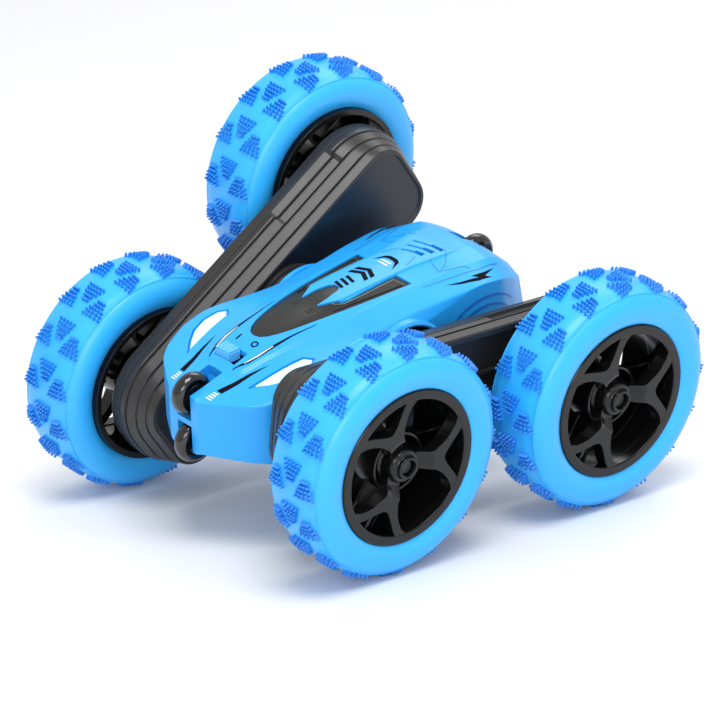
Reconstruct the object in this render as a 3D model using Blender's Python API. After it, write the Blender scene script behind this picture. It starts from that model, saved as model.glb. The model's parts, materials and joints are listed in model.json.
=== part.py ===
"""Double-sided radio-controlled stunt car, standing on three wheels with one side arm raised.

Every shape is drawn in millimetres and scaled to metres when its mesh is made. The car has its own
frames: the body frame (nose at +X, left side at +Y), and one frame for each side arm. Empties carry
those frames into the world, where the three wheels that touch the ground stand on z = 0.
"""

import math

import bmesh
import bpy
from mathutils import Matrix

MM = 0.001
GAP = 0.3  # clearance between pieces that touch, mm

# Wheels (mm)
TYRE_R = 35.0
BEAD_R = 23.5
WHEEL_INNER_Y = 47.5
WHEEL_OUTER_Y = 70.5
TREAD_INNER_Y = 49.5
TREAD_OUTER_Y = 70.0
SHOULDER_R = 4.0
TYRE_BULGE = 1.3
HALF_WHEELBASE = 40.5
WHEEL_STEPS = 28
BARREL_R = 21.4
LIP_R = 20.6
SPOKES = 3
SPOKE_Y = (65.5, 70.0)
# Half of one spoke, as (distance from the hub, half width): the stem, the fork's outer and inner
# corners at the lip, and the crotch of the fork
SPOKE_HALF = ((0.0, 2.9), (9.0, 2.9), (12.0, 4.2), (15.0, 7.0), (18.1, 11.8), (20.0, 8.1), (13.4, 0.0))
HUB_R = 4.6
HUB_Y = (53.0, 70.8)
AXLE_R = 2.0
AXLE_BORE_R = AXLE_R + GAP

# Gears (mm)
MODULE = 1.5
CENTRE_TEETH = 12
IDLER_TEETH = 12
WHEEL_TEETH = 18
# Corners of a tooth, as (share of the pitch, height over the pitch circle in modules)
TOOTH = ((-0.30, -1.1), (-0.115, 0.75), (0.115, 0.75), (0.30, -1.1))
GEAR_Y = (35.2, 38.2)
JOURNAL = (1.2, 1.6)  # a gear's pin sticks out this far inwards and outwards
IDLER_PIN_R = 1.4
PITCH_CENTRE = MODULE * CENTRE_TEETH / 2
PITCH_IDLER = MODULE * IDLER_TEETH / 2

# Side arms (mm), drawn for the left side
ARM_END_X = 60.0
ARM_HALF_H = 20.0
ARM_CORNER_R = 14.0
ARM_PANEL_Y = 28.5
ARM_STEP = (1.6, 3.4)  # each terrace steps in by this much and down by this much
ARM_TERRACES = 3
ARM_SPLIT_Y = 41.0
ARM_OUTER_Y = 45.0
ARM_WALL = 1.7
ARM_NOTCH = 1.0
ARM_NOTCH_X = (15.0, 16.5, 42.4, 43.9)
ARM_CAVITY = ((6.4, ARM_PANEL_Y + ARM_WALL), (3.8, GEAR_Y[0] - 0.4), (2.8, ARM_SPLIT_Y + 2.0))  # inset, y
COVER_RECESS = (3.0, 2.0)  # inset and depth
AXLE_BOSS = (5.0, 4.5)  # radius and height over the cover
SCREW_AT = (27.0, 12.6)
SCREW_R = 1.2
SCREW_HEAD_R = 2.2
SCREW_POST_R = 2.4
ARM_ARC_STEPS = 4
BOSS_R = 13.0
BOSS_Y = 21.6
PIVOT_R = 5.0
PIVOT_BORE_R = 2.2
PIVOT_END_Y = 13.6
SHAFT_R = 1.5
SHAFT_END_Y = 5.0
RETAINER = (8.4, 14.2, 16.8)  # outer radius and the two ends
WASHER = (9.0, 20.8, 21.2)
WEB_Y = (17.6, 20.4)

# Body (mm): x, half width at the parting plane, half width at the crease, crease height,
# half width of the roof, roof edge height, crown height
STATIONS = (
    (63.0, 6.5, 6.3, 8.4, 5.6, 9.2, 9.4),
    (59.0, 13.0, 12.8, 9.0, 9.0, 10.0, 10.2),
    (54.0, 20.0, 19.6, 9.6, 11.0, 11.4, 11.8),
    (48.0, 24.0, 23.4, 10.6, 11.5, 13.2, 13.8),
    (41.0, 25.5, 25.0, 13.2, 12.0, 15.6, 16.6),
    (33.0, 25.5, 24.8, 15.0, 13.0, 17.0, 18.6),
    (24.0, 24.5, 23.6, 14.6, 12.6, 17.9, 19.8),
    (12.0, 23.0, 22.0, 14.6, 12.0, 18.6, 20.6),
    (0.0, 22.8, 21.8, 15.6, 12.2, 19.1, 21.0),
    (-14.0, 23.0, 22.6, 16.6, 13.0, 19.6, 21.4),
    (-28.0, 23.0, 23.2, 17.0, 14.0, 20.2, 21.6),
    (-38.0, 22.0, 22.4, 15.0, 14.6, 20.0, 21.2),
    (-45.0, 19.8, 19.8, 12.4, 13.6, 17.6, 18.4),
    (-51.0, 16.6, 16.4, 9.4, 11.6, 12.6, 13.2),
)
SHELL_WALL = 1.6
CAVITY_X = (-35.0, 46.0)
ARCH_R = BOSS_R + 1.2
ROLLER_R = 6.5
ROLLER_HALF_W = 2.4
ROLLER_EDGE = 0.9
ROLLER_PIN_R = 1.0
PIN_HALF_L = 7.8
FRONT_ROLLER = (60.0, 7.7)
REAR_ROLLER = (-47.0, 11.0)
SLOT_HALF_W = 3.4
CROSSBAR_HALF_H = 0.85
SLOT_REAR_X = 49.2
CHASSIS_Z = (-10.2, -8.6)
SWITCH_X = 45.2
SWITCH_HALF_W = 2.2
SWITCH_HALF_L = 4.4
KNOB_HALF_L = 2.8
SWITCH_TRAVEL = 2.6  # the slider stands at its right end, ON
DOOR_PAD = (17.0, 29.6, 5.0, 21.2)  # rear x, front x, half width and height of the door's flat pad
DOOR_SCREW = (1.1, 2.1)  # radius of its shank and of its head

# Stance: how the three frames stand (degrees)
ARM_TILT = 38.1
BODY_PITCH = 8.3
CENTRING = (0.0, 2.558)  # puts the middle of the footprint on the origin, mm
ARM_DROP = HALF_WHEELBASE * math.sin(math.radians(ARM_TILT))
ROLL = math.degrees(math.atan(
    ARM_DROP / (TREAD_OUTER_Y - SHOULDER_R + TREAD_INNER_Y + SHOULDER_R)
))


# Materials

def material(name, colour, roughness, metallic=0.0):
    made = bpy.data.materials.new(name)
    made.use_nodes = True
    shader = made.node_tree.nodes["Principled BSDF"]
    shader.inputs["Base Color"].default_value = (*colour, 1.0)
    shader.inputs["Roughness"].default_value = roughness
    shader.inputs["Metallic"].default_value = metallic
    return made


# Mesh tools: every one returns a bmesh in millimetres

def ring_loft(rings):
    """Closed loops of the same number of points, joined in order."""
    bm = bmesh.new()
    loops = [[bm.verts.new(p) for p in ring] for ring in rings]
    count = len(loops[0])
    for low, high in zip(loops, loops[1:]):
        for i in range(count):
            j = (i + 1) % count
            bm.faces.new((low[i], low[j], high[j], high[i]))
    bm.faces.new(list(reversed(loops[0])))
    bm.faces.new(loops[-1])
    bmesh.ops.recalc_face_normals(bm, faces=bm.faces)
    bm.normal_update()
    return bm


def lathe(profile, steps, x=0.0, z=0.0, start=0.0):
    """A closed (radius, y) outline turned about the line along Y through (x, z)."""
    bm = bmesh.new()
    rings = []
    for k in range(steps):
        a = start + 2 * math.pi * k / steps
        rings.append([
            bm.verts.new((x + r * math.cos(a), y, z + r * math.sin(a))) for r, y in profile
        ])
    count = len(profile)
    for k in range(steps):
        here = rings[k]
        after = rings[(k + 1) % steps]
        for i in range(count):
            j = (i + 1) % count
            bm.faces.new((here[i], here[j], after[j], after[i]))
    bmesh.ops.recalc_face_normals(bm, faces=bm.faces)
    bm.normal_update()
    return bm


def tube(inner_r, outer_r, y0, y1, steps=24, x=0.0, z=0.0):
    return lathe(((inner_r, y0), (outer_r, y0), (outer_r, y1), (inner_r, y1)), steps, x, z)


def circle(radius, steps, x=0.0, z=0.0):
    turn = 2 * math.pi / steps
    return [(x + radius * math.cos(turn * k), z + radius * math.sin(turn * k)) for k in range(steps)]


def prism_y(outline, y0, y1):
    """An (x, z) outline extruded along Y."""
    return ring_loft([[(x, y0, z) for x, z in outline], [(x, y1, z) for x, z in outline]])


def prism_z(outline, z0, z1):
    """An (x, y) outline extruded along Z."""
    return ring_loft([[(x, y, z0) for x, y in outline], [(x, y, z1) for x, y in outline]])


def rod(radius, y0, y1, steps=24, x=0.0, z=0.0):
    return prism_y(circle(radius, steps, x, z), y0, y1)


def rod_z(radius, z0, z1, steps=24, x=0.0, y=0.0):
    return prism_z(circle(radius, steps, x, y), z0, z1)


def box(x0, x1, y0, y1, z0, z1):
    return prism_z(((x0, y0), (x1, y0), (x1, y1), (x0, y1)), z0, z1)


def drawn_in(outline, distance):
    """The closed outline moved in by that distance, with its corners kept sharp."""
    following = outline[1:] + outline[:1]
    area = sum(a[0] * b[1] - b[0] * a[1] for a, b in zip(outline, following))
    turn = math.copysign(1.0, area)
    inward = []
    for a, b in zip(outline, following):
        length = math.dist(a, b)
        inward.append((turn * (a[1] - b[1]) / length, turn * (b[0] - a[0]) / length))
    moved = []
    for k, (x, y) in enumerate(outline):
        (ax, ay), (bx, by) = inward[k - 1], inward[k]
        reach = distance / (1.0 + ax * bx + ay * by)
        moved.append((x + (ax + bx) * reach, y + (ay + by) * reach))
    return moved


def mirrored(bm, axis):
    """The same bmesh with its sign changed along one axis, still facing out."""
    scale = [1.0, 1.0, 1.0]
    scale["xyz".index(axis)] = -1.0
    bmesh.ops.transform(bm, matrix=Matrix.Diagonal((*scale, 1.0)), verts=bm.verts)
    bmesh.ops.reverse_faces(bm, faces=bm.faces)
    bm.normal_update()
    return bm


def is_warped(face):
    """True where the corners of a face don't lie in one plane."""
    centre = face.calc_center_median()
    return any(abs((corner.co - centre).dot(face.normal)) > 1e-4 for corner in face.verts)


# Scene tools

def frame(name, matrix, parent=None):
    empty = bpy.data.objects.new(name, None)
    bpy.context.collection.objects.link(empty)
    empty.parent = parent
    empty.matrix_local = matrix
    return empty


def piece(name, bm, parent, look=None, side=1, upside=1):
    """An object with that bmesh, mirrored to the right side or to the underside where asked."""
    if side < 0:
        mirrored(bm, "y")
    if upside < 0:
        mirrored(bm, "z")
    bmesh.ops.triangulate(bm, faces=[face for face in bm.faces if is_warped(face)])
    bmesh.ops.scale(bm, vec=(MM, MM, MM), verts=bm.verts)
    mesh = bpy.data.meshes.new(name)
    bm.to_mesh(mesh)
    bm.free()
    mesh.shade_smooth()
    mesh.set_sharp_from_angle(angle=math.radians(35))
    made = bpy.data.objects.new(name, mesh)
    bpy.context.collection.objects.link(made)
    made.parent = parent
    if look is not None:
        mesh.materials.append(look)
    return made


def combine(target, operation, bm, side=1, upside=1):
    """Cuts, joins or intersects the target with a helper that isn't part of the object."""
    helper = piece(f"{target.name}_{operation.lower()}", bm, target.parent, None, side, upside)
    helper.hide_render = True
    helper.display_type = "WIRE"
    boolean = target.modifiers.new(operation.lower(), "BOOLEAN")
    boolean.operation = operation
    boolean.solver = "EXACT"
    boolean.object = helper
    return target


# Wheels

def tyre_profile():
    """(radius, y) of the tyre: flat tread, round shoulders, sidewalls that bulge."""
    outline = [(BEAD_R + GAP, TREAD_INNER_Y - 1.2), (BEAD_R + 4.5, TREAD_INNER_Y - TYRE_BULGE)]
    for y, start, turn in ((TREAD_INNER_Y, 180, -90), (TREAD_OUTER_Y, 90, -90)):
        inward = SHOULDER_R if y == TREAD_INNER_Y else -SHOULDER_R
        for k in range(3):
            a = math.radians(start + turn * k / 2)
            r = TYRE_R - SHOULDER_R + SHOULDER_R * math.sin(a)
            outline.append((r, y + inward + SHOULDER_R * math.cos(a)))
    outline.append((BEAD_R + 4.5, TREAD_OUTER_Y + TYRE_BULGE))
    outline.append((BEAD_R + GAP, TREAD_OUTER_Y + 0.6))
    return outline


def spoke_outline(angle, x):
    """(x, z) outline of one spoke of a wheel at x: a stem from the hub that forks before the lip."""
    half = list(SPOKE_HALF)
    c, s = math.cos(angle), math.sin(angle)
    return [
        (x + along * c - across * s, along * s + across * c)
        for along, across in half + [(u, -v) for u, v in reversed(half[:-1])]
    ]


def rim(name, x, parent, look, side):
    """Barrel, stepped lip, forked spokes and hub in one moulding, bored for the axle."""
    barrel = (
        (BARREL_R, WHEEL_INNER_Y), (BEAD_R, WHEEL_INNER_Y), (BEAD_R, WHEEL_OUTER_Y),
        (LIP_R, WHEEL_OUTER_Y), (LIP_R, SPOKE_Y[0] - 0.8), (BARREL_R, SPOKE_Y[0] - 2.0),
    )
    made = piece(name, lathe(barrel, WHEEL_STEPS, x), parent, look, side)
    for k in range(SPOKES):
        angle = math.pi + 2 * math.pi * k / SPOKES
        combine(made, "UNION", prism_y(spoke_outline(angle, x), *SPOKE_Y), side)
    combine(made, "UNION", rod(HUB_R, *HUB_Y, 16, x), side)
    combine(made, "DIFFERENCE", rod(AXLE_BORE_R, HUB_Y[0] - 5, HUB_Y[1] + 5, 12, x), side)
    return made


def gear_outline(teeth, x=0.0, phase=0.0):
    """(x, z) outline of a spur gear with straight-sided teeth and generous backlash."""
    pitch = 2 * math.pi / teeth
    outline = []
    for k in range(teeth):
        for share, height in TOOTH:
            r = MODULE * (teeth / 2 + height)
            a = phase + pitch * (k + share)
            outline.append((x + r * math.cos(a), r * math.sin(a)))
    return outline


def wheel(name, x, parent, looks, side):
    # A corner of the tyre's polygon points straight down, so the wheel stands on it.
    down = 0.0 if side > 0 else math.radians(ARM_TILT)
    tyre = lathe(tyre_profile(), WHEEL_STEPS, x, 0.0, down)
    piece(f"{name}_tyre", tyre, parent, looks["tyre"], side)
    rim(f"{name}_rim", x, parent, looks["gloss_black"], side)
    made = piece(
        f"{name}_axle_gear", prism_y(gear_outline(WHEEL_TEETH, x), *GEAR_Y), parent, looks["nylon"], side
    )
    combine(made, "UNION", rod(AXLE_R, GEAR_Y[0] - JOURNAL[0], HUB_Y[1] - 1.5, 12, x), side)


# Side arms

def arm_outline(inset=0.0, notch=0.0):
    """(x, z) outline of an arm, drawn in by the inset: a rounded rectangle, notched in its long edges."""
    centre_x, centre_z = ARM_END_X - ARM_CORNER_R, ARM_HALF_H - ARM_CORNER_R
    radius = ARM_CORNER_R - inset
    half = []
    for start, z in ((0.0, centre_z), (90.0, -centre_z)):
        for k in range(ARM_ARC_STEPS + 1):
            a = math.radians(start + 90.0 * k / ARM_ARC_STEPS)
            half.append((centre_x + radius * math.sin(a), z + radius * math.cos(a)))
    if notch:
        edge = ARM_HALF_H - inset
        half += [(x, -z) for x, z in zip(reversed(ARM_NOTCH_X), (edge, edge - notch, edge - notch, edge))]
    return half + [(-x, -z) for x, z in half]


def arm_levels():
    """(inset, y) of each ring of the terraced inner face, from the flat panel outwards."""
    step_in, step_y = ARM_STEP
    levels = []
    inset, y = ARM_TERRACES * step_in, ARM_PANEL_Y
    for _ in range(ARM_TERRACES):
        levels += [(inset, y), (inset - step_in * 0.75, y + step_y * 0.85)]
        inset -= step_in
        y += step_y
    return levels + [(0.0, y + 0.4), (0.0, ARM_SPLIT_Y)]


def arm(side, parent, looks):
    """Inner housing with its pivot, outer cover, drive gears and the parts on the pivot."""
    name = "left" if side > 0 else "right"
    rings = [
        [(x, y, z) for x, z in arm_outline(inset, ARM_NOTCH)] for inset, y in arm_levels()
    ]
    housing = piece(f"{name}_arm_housing", ring_loft(rings), parent, looks["arm"], side)
    cavity = ring_loft([[(x, y, z) for x, z in arm_outline(inset)] for inset, y in ARM_CAVITY])
    combine(housing, "DIFFERENCE", cavity, side)
    screws = ((SCREW_AT[0], SCREW_AT[1]), (-SCREW_AT[0], -SCREW_AT[1]))
    tip_y = GEAR_Y[0] - 0.8
    for x, z in screws:
        post = rod(SCREW_POST_R, ARM_PANEL_Y + 1.0, ARM_SPLIT_Y - 0.2, 12, x, z)
        combine(housing, "UNION", post, side)
        combine(housing, "DIFFERENCE", rod(SCREW_R + 0.1, tip_y - 0.4, ARM_OUTER_Y, 10, x, z), side)
    combine(housing, "UNION", rod(BOSS_R, BOSS_Y, ARM_PANEL_Y + 1.0, 28), side)
    combine(housing, "UNION", rod(PIVOT_R, PIVOT_END_Y, BOSS_Y + 1.0, 20), side)
    combine(housing, "DIFFERENCE", rod(PIVOT_BORE_R, PIVOT_END_Y - 2, ARM_SPLIT_Y, 12), side)

    cover = piece(
        f"{name}_arm_cover",
        prism_y(arm_outline(0.2, ARM_NOTCH), ARM_SPLIT_Y + GAP, ARM_OUTER_Y),
        parent, looks["arm"], side,
    )
    inset, depth = COVER_RECESS
    recess = prism_y(arm_outline(inset), ARM_OUTER_Y - depth, ARM_OUTER_Y + depth)
    combine(cover, "DIFFERENCE", recess, side)
    boss_r, boss_h = AXLE_BOSS
    for x in (-HALF_WHEELBASE, HALF_WHEELBASE):
        combine(cover, "UNION", rod(boss_r, ARM_OUTER_Y - depth - 0.5, ARM_OUTER_Y + boss_h, 16, x), side)
        bore = rod(AXLE_BORE_R, ARM_SPLIT_Y - 3, ARM_OUTER_Y + 2 * boss_h, 12, x)
        combine(cover, "DIFFERENCE", bore, side)
    for end, (x, z) in zip(("front", "rear"), screws):
        combine(cover, "DIFFERENCE", rod(SCREW_R + 0.1, ARM_SPLIT_Y - 1, ARM_OUTER_Y, 10, x, z), side)
        head_y = ARM_OUTER_Y - depth + GAP
        screw = piece(
            f"{name}_{end}_screw", rod(SCREW_R, tip_y, head_y + GAP, 10, x, z), parent, looks["steel"], side
        )
        combine(screw, "UNION", rod(SCREW_HEAD_R, head_y, head_y + 1.3, 12, x, z), side)

    shaft = piece(
        f"{name}_drive_shaft", prism_y(gear_outline(CENTRE_TEETH), *GEAR_Y), parent, looks["nylon"], side
    )
    combine(shaft, "UNION", rod(SHAFT_R, SHAFT_END_Y, GEAR_Y[1] + JOURNAL[1], 12), side)
    for end, x in (("front", PITCH_CENTRE + PITCH_IDLER), ("rear", -PITCH_CENTRE - PITCH_IDLER)):
        # The idler turns half a tooth against the gear that it meets.
        idler = piece(
            f"{name}_{end}_idler",
            prism_y(gear_outline(IDLER_TEETH, x, math.pi / IDLER_TEETH), *GEAR_Y),
            parent, looks["nylon"], side,
        )
        pin = rod(IDLER_PIN_R, GEAR_Y[0] - JOURNAL[0], GEAR_Y[1] + JOURNAL[1], 12, x)
        combine(idler, "UNION", pin, side)
    piece(f"{name}_arm_retainer", tube(PIVOT_R + GAP, *RETAINER, 18), parent, looks["nylon"], side)


# Body

def half_section(station, wall=0.0, base=0.15):
    """(y, z) points of the right to left outline of the upper half at one station."""
    _, w_base, w_crease, z_crease, w_roof, z_roof, z_crown = station
    side = [
        (w_base - wall, base), (w_crease - wall, z_crease - wall * 0.6),
        (w_roof - wall * 0.5, z_roof - wall), (w_roof * 0.45, z_crown - wall),
    ]
    return [(-y, z) for y, z in side] + [(y, z) for y, z in reversed(side)]


def shell_solid():
    return ring_loft([
        [(s[0], y, z) for y, z in half_section(s)] for s in STATIONS
    ])


def station_at(x):
    """The section between two stations."""
    for front, rear in zip(STATIONS, STATIONS[1:]):
        if front[0] >= x >= rear[0]:
            share = (front[0] - x) / (front[0] - rear[0])
            return tuple(a + (b - a) * share for a, b in zip(front, rear))
    return STATIONS[-1]


def cavity_solid():
    """The room inside a half shell: the same sections drawn in by the wall, open at the parting plane."""
    inside = [s for s in STATIONS if CAVITY_X[0] < s[0] < CAVITY_X[1]]
    ends = station_at(CAVITY_X[1]), station_at(CAVITY_X[0])
    return ring_loft([
        [(s[0], y, z) for y, z in half_section(s, SHELL_WALL, -1.0)] for s in (ends[0], *inside, ends[1])
    ])


def canopy_outline():
    """(x, y) outline of the dark cockpit window: pointed nose, long rear branches and a slit between them."""
    half = [
        (36.8, 0.0), (34.2, 4.0), (28.2, 6.3), (18.0, 8.5), (0.0, 10.8), (-12.6, 12.0), (-11.2, 6.4),
        (7.2, 6.9), (15.8, 3.3), (7.0, 2.2), (5.4, 1.1),
    ]
    return half + [(x, -y) for x, y in reversed(half[1:])]


def lens_outline():
    """(x, y) outline of the left headlight: a swept-back wedge that wraps round the shell's edge."""
    return [(50.8, 13.2), (46.4, 17.9), (36.6, 28.0), (30.0, 28.0), (29.0, 20.0), (31.6, 16.4), (43.0, 14.6)]


def canopy(name, parent, look, upside):
    """A window that continues the shell's own skin inside the canopy outline."""
    made = piece(name, shell_solid(), parent, look, 1, upside)
    combine(made, "DIFFERENCE", cavity_solid(), 1, upside)
    return combine(made, "INTERSECT", prism_z(drawn_in(canopy_outline(), GAP), 4.0, 30.0), 1, upside)


def shell(upside, parent, looks):
    """One blue half of the body, with its slots, arches, window and headlight openings."""
    name = "top_shell" if upside > 0 else "bottom_shell"
    made = piece(name, shell_solid(), parent, looks["body"], 1, upside)
    cuts = [cavity_solid(), prism_z(canopy_outline(), 3.0, 31.0)]
    cuts += [rod(ARCH_R, 20.8, 40.0, 32), mirrored(rod(ARCH_R, 20.8, 40.0, 32), "y")]
    cuts += [prism_z(lens_outline(), 10.2, 31.0), mirrored(prism_z(lens_outline(), 10.2, 31.0), "y")]
    cuts.append(box(SLOT_REAR_X, 70.0, -SLOT_HALF_W, SLOT_HALF_W, CROSSBAR_HALF_H, 32.0))
    cuts.append(box(-60.0, REAR_ROLLER[0] + ROLLER_R + 1.0, -SLOT_HALF_W, SLOT_HALF_W, 3.0, 32.0))
    for x, z in (FRONT_ROLLER, REAR_ROLLER):
        cuts.append(rod(ROLLER_PIN_R + 0.15, -PIN_HALF_L - GAP, PIN_HALF_L + GAP, 12, x, z))
    if upside > 0:
        half_w, half_l = SWITCH_HALF_W + GAP, SWITCH_HALF_L
        cuts.append(box(SWITCH_X - half_w, SWITCH_X + half_w, -half_l, half_l, 5.0, 32.0))
    for cut in cuts:
        combine(made, "DIFFERENCE", cut, 1, upside)


def rollers(parent, looks):
    for end, (x, z) in (("front", FRONT_ROLLER), ("rear", REAR_ROLLER)):
        for level, sign in (("upper", 1), ("lower", -1)):
            bore = ROLLER_PIN_R + GAP
            half_w, edge = ROLLER_HALF_W, ROLLER_EDGE
            profile = (
                (bore, -half_w), (ROLLER_R - edge, -half_w), (ROLLER_R, edge - half_w),
                (ROLLER_R, half_w - edge), (ROLLER_R - edge, half_w), (bore, half_w),
            )
            name = f"{end}_{level}_roller"
            piece(name, lathe(profile, 18, x, sign * z), parent, looks["gloss_black"])
            pin = rod(ROLLER_PIN_R - 0.15, -PIN_HALF_L, PIN_HALF_L, 12, x, sign * z)
            piece(f"{name}_pin", pin, parent, looks["steel"])


def running_gear(parent, looks):
    """Chassis, power and drive units, which the two shells close in."""
    chassis = piece("chassis", box(-34.0, 45.0, -17.0, 17.0, *CHASSIS_Z), parent, looks["arm"])
    for sign in (1, -1):
        web = box(-9.0, 9.0, *WEB_Y, CHASSIS_Z[0], 10.0)
        foot = box(-9.0, 9.0, 15.0, WEB_Y[1], *CHASSIS_Z)
        combine(chassis, "UNION", foot, sign)
        combine(chassis, "UNION", web, sign)
        combine(chassis, "DIFFERENCE", rod(PIVOT_R + GAP, 14.0, 24.0, 20), sign)
    piece("battery_pack", box(27.6, 42.2, -15.0, 15.0, -8.2, 7.6), parent, looks["battery"])
    piece("circuit_board", box(-31.0, -29.4, -14.0, 14.0, -8.2, 9.0), parent, looks["board"])
    for side, name in ((1, "left"), (-1, "right")):
        low, high = (-8.0, 26.0) if side > 0 else (-26.0, 8.0)
        gearbox = piece(f"{name}_gearbox", box(low, high, 8.8, 13.0, -8.2, 8.2), parent, looks["arm"], side)
        combine(gearbox, "DIFFERENCE", rod(SHAFT_R + GAP, 6.0, 16.0, 12), side)
        piece(f"{name}_motor", rod(7.4, -9.0, 8.5, 24, 18.0 * side), parent, looks["steel"], side)
        washer = tube(PIVOT_R + GAP, *WASHER, 18)
        piece(f"{name}_friction_washer", washer, parent, looks["steel"], side)


def small_parts(parent, looks):
    rear_x, front_x = SWITCH_X - SWITCH_HALF_W, SWITCH_X + SWITCH_HALF_W
    knob_y = -SWITCH_TRAVEL / 2
    knob = box(rear_x, front_x, knob_y - KNOB_HALF_L, knob_y + KNOB_HALF_L, 9.6, 16.4)
    piece("switch_knob", knob, parent, looks["body"])
    half_l = SWITCH_HALF_L - GAP
    piece("switch_body", box(rear_x, front_x, -half_l, half_l, 5.3, 9.3), parent, looks["arm"])

    canopy("canopy", parent, looks["window"], 1)
    door = canopy("battery_door", parent, looks["window"], -1)
    rear_x, front_x, half_w, height = DOOR_PAD
    pad_x = (rear_x + front_x) / 2
    shank_r, head_r = DOOR_SCREW
    combine(door, "UNION", box(rear_x, front_x, -half_w, half_w, 17.8, height), 1, -1)
    combine(door, "DIFFERENCE", rod_z(shank_r + 0.2, 10.0, 30.0, 12, pad_x), 1, -1)
    combine(door, "DIFFERENCE", rod_z(head_r + GAP, height - 1.4, 30.0, 16, pad_x), 1, -1)
    screw = piece(
        "battery_door_screw", rod_z(shank_r, 11.0, height - 0.6, 12, pad_x), parent, looks["steel"], 1, -1
    )
    combine(screw, "UNION", rod_z(head_r, height - 1.3, height - 0.3, 16, pad_x), 1, -1)
    for upside, level in ((1, "upper"), (-1, "lower")):
        for side, hand in ((1, "left"), (-1, "right")):
            name = f"{hand}_{level}_headlight_lens"
            lens = piece(name, shell_solid(), parent, looks["lens"], side, upside)
            combine(lens, "INTERSECT", prism_z(drawn_in(lens_outline(), GAP), 10.5, 30.0), side, upside)


def clear_scene():
    for old in list(bpy.data.objects):
        bpy.data.objects.remove(old)


def main():
    clear_scene()
    looks = {
        "body": material("body_blue", (0.02, 0.36, 0.93), 0.25),
        "tyre": material("tyre_blue", (0.02, 0.34, 0.95), 0.5),
        "gloss_black": material("gloss_black", (0.012, 0.012, 0.013), 0.18),
        "arm": material("arm_black", (0.03, 0.03, 0.032), 0.4),
        "nylon": material("gear_nylon", (0.75, 0.75, 0.72), 0.5),
        "steel": material("steel", (0.6, 0.6, 0.62), 0.3, 1.0),
        "window": material("window_smoke", (0.03, 0.03, 0.025), 0.12),
        "lens": material("lens_clear", (0.9, 0.97, 1.0), 0.05),
        "battery": material("battery_wrap", (0.05, 0.25, 0.12), 0.4),
        "board": material("board_green", (0.02, 0.2, 0.08), 0.5),
    }
    # The lowest point of a near tyre sets the height of the pivot axis above the ground.
    roll = math.radians(ROLL)
    height = (TREAD_OUTER_Y - SHOULDER_R) * math.sin(roll) + TYRE_R * math.cos(roll)
    centre = Matrix.Translation((CENTRING[0] * MM, CENTRING[1] * MM, height * MM))
    stance = centre @ Matrix.Rotation(-roll, 4, "X")
    car = frame("car_frame", stance)
    body = frame("body_frame", Matrix.Rotation(math.radians(BODY_PITCH), 4, "Y"), car)
    left = frame("left_arm_frame", Matrix.Identity(4), car)
    right = frame("right_arm_frame", Matrix.Rotation(math.radians(ARM_TILT), 4, "Y"), car)

    shell(1, body, looks)
    shell(-1, body, looks)
    running_gear(body, looks)
    rollers(body, looks)
    small_parts(body, looks)
    for side, parent in ((1, left), (-1, right)):
        hand = "left" if side > 0 else "right"
        arm(side, parent, looks)
        wheel(f"{hand}_front", HALF_WHEELBASE, parent, looks, side)
        wheel(f"{hand}_rear", -HALF_WHEELBASE, parent, looks, side)


main()
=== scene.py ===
"""Looks of the double-sided stunt car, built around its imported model.

Shapes are drawn in millimetres in the car's own frames (nose at +X, left side at +Y): one frame for the
body and one for each side arm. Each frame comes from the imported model's joints.
"""

import json
import math

import bmesh
import bpy
from mathutils import Matrix, Vector
from mathutils.geometry import delaunay_2d_cdt

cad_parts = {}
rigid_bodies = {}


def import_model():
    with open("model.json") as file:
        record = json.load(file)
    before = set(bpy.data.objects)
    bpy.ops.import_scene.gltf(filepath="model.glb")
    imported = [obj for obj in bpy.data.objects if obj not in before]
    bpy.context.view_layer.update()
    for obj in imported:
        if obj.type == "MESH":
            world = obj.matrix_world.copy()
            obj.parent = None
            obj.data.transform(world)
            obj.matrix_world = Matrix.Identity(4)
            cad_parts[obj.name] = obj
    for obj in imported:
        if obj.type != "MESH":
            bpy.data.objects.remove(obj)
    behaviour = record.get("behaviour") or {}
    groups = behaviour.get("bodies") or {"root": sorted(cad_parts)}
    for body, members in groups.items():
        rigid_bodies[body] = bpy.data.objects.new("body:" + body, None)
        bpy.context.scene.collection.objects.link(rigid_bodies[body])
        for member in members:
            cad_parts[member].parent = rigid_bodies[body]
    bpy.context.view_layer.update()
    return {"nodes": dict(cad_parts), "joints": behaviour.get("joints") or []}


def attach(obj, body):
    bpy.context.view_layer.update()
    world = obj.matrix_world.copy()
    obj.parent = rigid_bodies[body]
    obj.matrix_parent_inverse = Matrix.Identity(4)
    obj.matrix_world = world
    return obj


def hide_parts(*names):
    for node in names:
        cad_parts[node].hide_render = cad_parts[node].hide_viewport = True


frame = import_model()
JOINTS = {joint["name"]: joint for joint in frame["joints"]}
MM = 0.001
TINY = 1e-5  # points closer than this count as one (mm)
ROOT = 0.3  # how deep an added feature sinks into what it stands on (mm)

# Tread (mm)
STUD_ROWS = 16
STUD_HEIGHT = 1.3
STUD_R = 0.48
STUD_SIDES = 6
STUD_ROOT = 0.15
STUD_GRID = (5, 4)  # studs of one patch, round the tyre and across it
STUD_PITCH = 1.32
STUD_SQUEEZE = 0.92  # how much closer the studs stand across the tyre than round it
FAN = (0.6, 1.22)  # how narrow and how wide the two ends of a patch are
PATCH_COLUMN_Y = 5.9
MIDDLE_SHIFT = 0.27  # how far the middle patches are turned on, as a share of the row pitch
TREAD_HALF_W = 8.9
TREAD_FLAT = 5.8  # half width of the tread's flat middle
TREAD_FALL = 0.36  # how steeply the tread drops beyond it
SIDEWALL = (5.2, 4.0)  # how far the sidewall's oval reaches along the radius and outwards
SIDEWALL_ARC = (24, 7.5, 19)  # the oval's first angle and its step (degrees), and its number of points

# Rim (mm)
SPOKES = 3
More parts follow.
